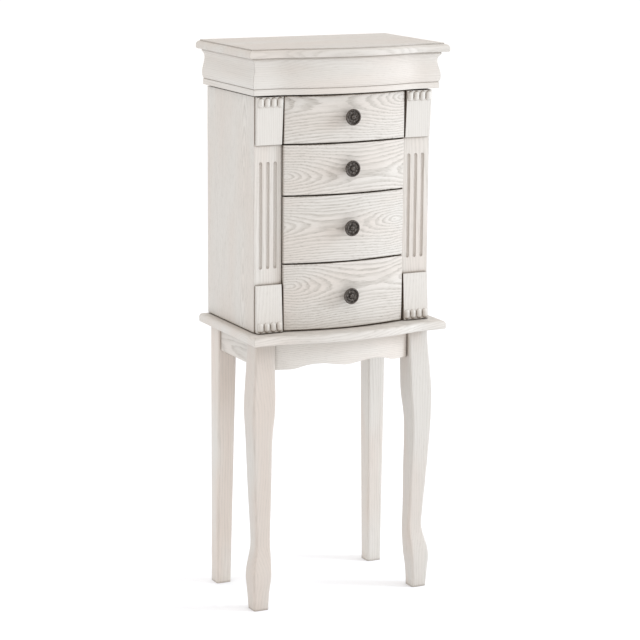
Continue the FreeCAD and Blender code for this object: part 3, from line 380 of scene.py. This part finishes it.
def skin(name, rings, material, smooth=True):
    """A closed surface over loops of points, an array (loops, points, 3): quads between neighbouring
    loops and a fan over each end.  Faces point outwards because the enclosed volume is positive."""
    loops, points = rings.shape[:2]
    verts = np.vstack([rings.reshape(-1, 3), rings[0].mean(0), rings[-1].mean(0)])
    index = np.arange(loops * points).reshape(loops, points)
    after = np.roll(index, -1, axis=1)
    sides = np.stack([index[:-1], after[:-1], after[1:], index[1:]], -1).reshape(-1, 4)
    first = np.stack([after[0], index[0], np.full(points, loops * points)], -1)
    last = np.stack([index[-1], after[-1], np.full(points, loops * points + 1)], -1)
    split = np.vstack([sides[:, [0, 1, 2]], sides[:, [0, 2, 3]], first, last])
    corners = verts[split]
    volume = np.einsum("ij,ij->i", corners[:, 0], np.cross(corners[:, 1], corners[:, 2])).sum()
    faces = [tuple(face) for part in (sides, first, last) for face in part.tolist()]
    if volume < 0:
        faces = [face[::-1] for face in faces]
    mesh = bpy.data.meshes.new(name)
    mesh.from_pydata(verts.tolist(), [], faces)
    mesh.polygons.foreach_set("use_smooth", [smooth] * len(mesh.polygons))
    mesh.materials.append(material)
    piece = bpy.data.objects.new(name, mesh)
    scene.collection.objects.link(piece)
    return piece


def join_pieces(name, parts):
    """One object from several closed shells, which keep their own faces."""
    bpy.ops.object.select_all(action="DESELECT")
    for part in parts:
        part.select_set(True)
    bpy.context.view_layer.objects.active = parts[0]
    bpy.ops.object.join()
    parts[0].name = name
    return parts[0]


# ---- Knobs -----------------------------------------------------------------------------------------
# Cast round knobs in dark pewter: a rolled rim round a dished face with a ring of eight petals and a
# button in the middle, on a waisted stem, each held by a screw from inside the drawer.
PETALS = 8
KNOB_RIM = ((0.0, 0.0), (6.4, 0.0), (6.7, 0.9), (6.0, 1.9), (4.6, 3.0), (4.0, 4.6), (3.9, 6.6),
            (4.4, 9.0), (6.4, 10.8), (10.4, 11.8), (13.4, 12.7), (14.4, 13.9), (14.3, 15.4),
            (13.4, 16.5), (12.3, 16.6), (11.5, 15.6), (10.9, 14.5), (9.0, 14.3), (6.6, 14.3),
            (5.3, 13.9), (4.6, 14.4), (3.9, 15.8), (2.4, 16.8), (0.8, 17.0), (0.0, 17.0))


def pewter():
    """Dark cast metal: nearly black in the hollows, rubbed grey on what stands proud, finely pitted."""
    material = bpy.data.materials.new("dark_pewter")
    material.use_nodes = True
    tree = material.node_tree
    shader = tree.nodes["Principled BSDF"]
    place = tree.nodes.new("ShaderNodeTexCoord")
    hollow = grow(tree, "ShaderNodeAmbientOcclusion", samples=8, Distance=0.004)
    mottle = stretched_noise(tree, place.outputs["Object"], (420, 420, 420), 4.0)
    rubbed = reckon(tree, "MULTIPLY", threshold(tree, hollow.outputs["AO"], 0.45, 0.98),
                    threshold(tree, mottle, 0.25, 0.7))
    tree.links.new(blend_colour(tree, rubbed, (0.022, 0.018, 0.015), (0.150, 0.130, 0.115)),
                   shader.inputs["Base Color"])
    shader.inputs["Metallic"].default_value = 0.85
    tree.links.new(reckon(tree, "MULTIPLY_ADD", mottle, 0.3, 0.28), shader.inputs["Roughness"])
    bump = grow(tree, "ShaderNodeBump", Strength=0.2, Distance=0.0002)
    tree.links.new(mottle, bump.inputs["Height"])
    tree.links.new(bump.outputs[0], shader.inputs["Normal"])
    return material


def metal(name, colour, rough, wear):
    """Plated or brushed metal with faint scuffs that change its roughness and dull its colour."""
    material = bpy.data.materials.new(name)
    material.use_nodes = True
    tree = material.node_tree
    shader = tree.nodes["Principled BSDF"]
    place = tree.nodes.new("ShaderNodeTexCoord")
    scuff = stretched_noise(tree, place.outputs["Object"], (160, 160, 700), 3.0)
    dull = tuple(part * 0.6 for part in colour)
    tree.links.new(blend_colour(tree, threshold(tree, scuff, 0.35, 0.75), colour, dull),
                   shader.inputs["Base Color"])
    shader.inputs["Metallic"].default_value = 1.0
    tree.links.new(reckon(tree, "MULTIPLY_ADD", scuff, wear, rough), shader.inputs["Roughness"])
    return material


def turned(profile, centre, count, petal=0.0):
    """Loops of a shape turned about an axis that points to -Y from centre: radius and reach come from
    the profile.  Petals lift the dished face by a cosine of eight turns inside a soft ring."""
    angle = np.linspace(0, 2 * math.pi, count, endpoint=False)
    radius, reach = profile[:, :1] * 0.001, profile[:, 1:] * 0.001
    face = np.exp(-((profile[:, :1] - 8.4) / 1.5) ** 2) * (profile[:, 1:] > 13.5)
    lift = petal * face * (0.5 + 0.5 * np.cos(PETALS * angle)) ** 1.5
    return np.stack([centre[0] + radius * np.cos(angle), centre[1] - reach - lift,
                     centre[2] + radius * np.sin(angle)], -1)


dark_pewter = pewter()
steel = metal("plated_steel", (0.60, 0.60, 0.58), 0.25, 0.3)
knob_run = smooth_run(KNOB_RIM, 110)[1:-1]
knob_run[:, 0] = np.maximum(knob_run[:, 0], 0.05)
SCREW_RUN = np.array(((0.1, 0.0), (2.0, 0.2), (2.0, 46.0), (2.0, 46.5), (3.6, 46.5), (4.0, 47.0),
                      (3.9, 47.9), (3.0, 48.4), (0.1, 48.5)))
for number in range(1, 5):
    name = "drawer_%d" % number
    front_low, front_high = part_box(name + "_front")
    knob_low, knob_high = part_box(name + "_knob")
    seat = (0.0, front_low.y + 0.0002, (knob_low.z + knob_high.z) / 2)
    knob = skin("knob_%d" % number, turned(knob_run, seat, 96, 0.0017), dark_pewter)
    screw_end = (0.0, seat[1] - 0.004, seat[2])
    length = (knob_high.y - seat[1] + 0.004) / 0.0485
    screw_run = SCREW_RUN * (1.0, -length)
    screw = skin("knob_screw_%d" % number, turned(screw_run, screw_end, 24), steel)
    for piece in (knob, screw):
        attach(piece, name)
        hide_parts(name + "_knob")


# ---- Felt linings ----------------------------------------------------------------------------------
# Short-pile flocked felt, glued into the drawer floors and onto the tray's base.
FELT_THICK = 0.0012


def felt():
    """Oatmeal felt: clumped fibres make a soft mottle, with sheen at grazing angles."""
    material = bpy.data.materials.new("oatmeal_felt")
    material.use_nodes = True
    tree = material.node_tree
    shader = tree.nodes["Principled BSDF"]
    place = tree.nodes.new("ShaderNodeTexCoord")
    fibre = stretched_noise(tree, place.outputs["Object"], (1900, 1900, 1900), 4.0, 0.7)
    clump = stretched_noise(tree, place.outputs["Object"], (90, 90, 90), 3.0)
    colour = blend_colour(tree, threshold(tree, fibre, 0.3, 0.7), (0.44, 0.38, 0.29), (0.66, 0.60, 0.49))
    colour = blend_colour(tree, reckon(tree, "MULTIPLY", clump, 0.35), colour, (0.50, 0.43, 0.34))
    tree.links.new(colour, shader.inputs["Base Color"])
    shader.inputs["Roughness"].default_value = 0.95
    shader.inputs["Sheen Weight"].default_value = 0.35
    bump = grow(tree, "ShaderNodeBump", Strength=0.6, Distance=0.0005)
    tree.links.new(fibre, bump.inputs["Height"])
    tree.links.new(bump.outputs[0], shader.inputs["Normal"])
    return material


def laid_felt(name, low, high, material):
    """A thin sheet with softly rounded edges: height eases down to the board by the fourth power of
    how near a point is to the sheet's edge."""
    width, length = high[0] - low[0], high[1] - low[1]
    u = np.linspace(-1, 1, 61)[:, None] * np.ones((1, 61))
    v = u.T
    rise = FELT_THICK * (1 - 0.35 * np.maximum(np.abs(u), np.abs(v)) ** 24)
    rise += 0.00006 * np.sin(9 * u + 2 * v) * np.cos(7 * v - u)
    grid = np.stack([low[0] + width * (u + 1) / 2, low[1] + length * (v + 1) / 2, low[2] + rise], -1)
    index = np.arange(61 * 61).reshape(61, 61)
    faces = np.stack([index[:-1, :-1], index[1:, :-1], index[1:, 1:], index[:-1, 1:]], -1)
    mesh = bpy.data.meshes.new(name)
    mesh.from_pydata(grid.reshape(-1, 3).tolist(), [], faces.reshape(-1, 4).tolist())
    mesh.polygons.foreach_set("use_smooth", [True] * len(mesh.polygons))
    mesh.materials.append(material)
    piece = bpy.data.objects.new(name, mesh)
    scene.collection.objects.link(piece)
    shell = piece.modifiers.new("felt_thickness", "SOLIDIFY")
    shell.thickness = FELT_THICK * 0.6
    shell.offset = -1
    return piece, (width, length)


oatmeal_felt = felt()
finish_node("tray_base", oatmeal_felt)
BOX_WALL, BOX_FLOOR = 0.008, 0.004
for number in range(1, 5):
    name = "drawer_%d" % number
    low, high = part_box(name + "_box")
    inset = BOX_WALL + 0.0006
    piece, flat = laid_felt(name + "_felt", (low.x + inset, low.y + inset, low.z + BOX_FLOOR),
                            (high.x - inset, high.y - inset), oatmeal_felt)
    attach(piece, name)


# ---- Ring rolls ------------------------------------------------------------------------------------
# Eight firm felt-covered foam rolls, pushed side by side into the ring bay so that rings stand in the
# grooves between them.
def ring_roll(name, low, high, number):
    """Loops of a bolster along X: its radius falls away at the ends as the sixth root of one minus the
    sixth power, its underside is flat where it lies, and a seam line runs along the back."""
    along = np.concatenate([[0.0], 0.5 - 0.5 * np.cos(np.linspace(0.12, math.pi - 0.12, 34)), [1.0]])
    angle = np.linspace(0, 2 * math.pi, 48, endpoint=False)
    taper = np.maximum(1 - np.abs(2 * along - 1) ** 9, 0.02) ** (1 / 9)
    pinch = 1 - 0.02 * np.sin(along[:, None] * 23 + number) * np.cos(2 * angle)
    half_y, half_z = (high.y - low.y) / 2, (high.z - low.z) / 2
    seam = 1 - 0.05 * np.exp(-((angle - 1.9) / 0.12) ** 2)
    reach = taper[:, None] * seam * pinch / 1.02
    x = low.x + (high.x - low.x) * along[:, None] + 0 * reach
    y = (low.y + high.y) / 2 + half_y * reach * np.cos(angle)
    z = (low.z + high.z) / 2 + np.maximum(half_z * reach * np.sin(angle), -half_z * 0.92)
    return np.stack([x, y, z], -1)


roll_low, roll_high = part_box("ring_cushions")
ROLLS = 8
roll_pitch = (roll_high.y - roll_low.y + 0.0006) / ROLLS
for number in range(ROLLS):
    start = Vector((roll_low.x, roll_low.y + number * roll_pitch, roll_low.z))
    end = Vector((roll_high.x, start.y + roll_pitch - 0.0006, roll_high.z))
    name = "ring_roll_%d" % (number + 1)
    roll = skin(name, ring_roll(name, start, end, number), oatmeal_felt)
    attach(roll, "root")
    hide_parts("ring_cushions")


# ---- Hardware --------------------------------------------------------------------------------------
# Small butt hinges and hooks in aged brass, steel bolts, magnets and strike plates, and soft rubber
# dots that the lid lands on.
aged_brass = metal("aged_brass", (0.50, 0.36, 0.17), 0.3, 0.35)
for name in nodes:
    if name.endswith(("hinge_leaves", "hinge_leaves_fixed", "_hooks")):
        finish_node(name, aged_brass)
for name in ("leg_bolts", "door_magnets", "door_left_strike_plate", "door_right_strike_plate"):
    finish_node(name, steel)
rubber = bpy.data.materials.new("clear_rubber")
rubber.use_nodes = True
tree = rubber.node_tree
dust = stretched_noise(tree, tree.nodes.new("ShaderNodeTexCoord").outputs["Object"], (900, 900, 900), 3.0)
tree.links.new(blend_colour(tree, dust, (0.62, 0.62, 0.60), (0.78, 0.78, 0.76)),
               tree.nodes["Principled BSDF"].inputs["Base Color"])
tree.nodes["Principled BSDF"].inputs["Roughness"].default_value = 0.35
finish_node("lid_bumpers", rubber)


def screw_heads(name, places, material):
    """Slotted countersunk heads that face +Y: shallow domes, turned about each screw's axis."""
    dome = np.array(((0.05, 0.62), (0.9, 0.55), (1.5, 0.32), (1.8, 0.0), (1.7, -0.25), (0.05, -0.25)))
    heads = []
    for index, place in enumerate(places):
        loops = turned(dome * (1.0, -1.0), place, 20)
        heads.append(skin("%s_%d" % (name, index), loops, material))
    return join_pieces(name, heads)


HEAD_SPREAD = (0.2, 0.5, 0.8)
LEAF_MARGIN = 0.0045


def leaf_screws(name, node, body, long_axis, offset_low, offset_high):
    """Three screws in each leaf of a hinge node: spread along its long axis, on the leaf's middle."""
    low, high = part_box(node)
    leaf_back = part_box("back_frame")[1].y + 0.0012
    places = []
    for start, end in zip(offset_low, offset_high):
        for share in HEAD_SPREAD:
            run = start[0] + (end[0] - start[0]) * share
            places.append((start[1], leaf_back, run) if long_axis == "z" else (run, leaf_back, start[1]))
    heads = screw_heads(name, places, aged_brass)
    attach(heads, body)


hinge_low, hinge_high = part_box("door_right_hinge_leaves")
HINGE_LENGTH = 0.050
door_runs = ((hinge_low.z, hinge_low.z + HINGE_LENGTH), (hinge_high.z - HINGE_LENGTH, hinge_high.z))
case_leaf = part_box("door_hinge_leaves_fixed")
for side, sign in (("left", -1), ("right", 1)):
    outer = (hinge_high.x - LEAF_MARGIN) * sign
    leaf_screws("door_%s_hinge_screws" % side, "door_%s_hinge_leaves" % side, "door_" + side, "z",
                [(run[0], outer) for run in door_runs], [(run[1], outer) for run in door_runs])
    pin = (hinge_high.x - 0.0116) * sign
    inner = pin - sign * (0.0116 - LEAF_MARGIN)
    leaf_screws("case_%s_hinge_screws" % side, "door_hinge_leaves_fixed", "root", "z",
                [(run[0], inner) for run in door_runs], [(run[1], inner) for run in door_runs])
lid_leaf_low, lid_leaf_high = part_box("lid_hinge_leaves")
LID_HINGE_LENGTH = 0.060
lid_runs = ((lid_leaf_low.x, lid_leaf_low.x + LID_HINGE_LENGTH),
            (lid_leaf_high.x - LID_HINGE_LENGTH, lid_leaf_high.x))
lid_row = lid_leaf_high.z - LEAF_MARGIN
case_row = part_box("lid_hinge_leaves_fixed")[0].z + LEAF_MARGIN
for name, body, row in (("lid_hinge_screws", "lid", lid_row), ("rail_hinge_screws", "root", case_row)):
    leaf_screws(name, "lid_hinge_leaves", body, "x",
                [(run[0], row) for run in lid_runs], [(run[1], row) for run in lid_runs])


# ---- Lid -------------------------------------------------------------------------------------------
# A bowed oak top with a stepped edge, on a box frame faced with a cyma cornice on the front and both
# ends.  A mirror in a rebated frame is fixed under it.
finish_node("lid_top", washed_oak("oak_lid_top", "x", (-0.22, 0.02, 0.985), (0.015, 0.075), 200.0,
                                 0.6, 1.0, 0.96))
finish_node("lid_front_moulding", washed_oak("oak_cornice_front", "x", (0.3, 0.25, 1.45),
                                             (0.01, 0.004), 300.0, 0.35))
for side, sign in (("left", -1), ("right", 1)):
    finish_node("lid_side_moulding_" + side,
                washed_oak("oak_cornice_" + side, "y", (0.05 * sign, 0.3, 1.4), (0.01, 0.004), 300.0,
                           0.35))
finish_node("lid_frame", across_oak)
finish_node("mirror_frame", across_oak)
mirror = bpy.data.materials.new("mirror_glass")
mirror.use_nodes = True
tree = mirror.node_tree
smear = stretched_noise(tree, tree.nodes.new("ShaderNodeTexCoord").outputs["Object"], (25, 60, 60), 3.0)
tree.nodes["Principled BSDF"].inputs["Base Color"].default_value = (0.90, 0.92, 0.92, 1)
tree.nodes["Principled BSDF"].inputs["Metallic"].default_value = 1.0
tree.links.new(reckon(tree, "MULTIPLY_ADD", threshold(tree, smear, 0.5, 0.9), 0.06, 0.01),
               tree.nodes["Principled BSDF"].inputs["Roughness"])
finish_node("lid_mirror", mirror)

low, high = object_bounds()
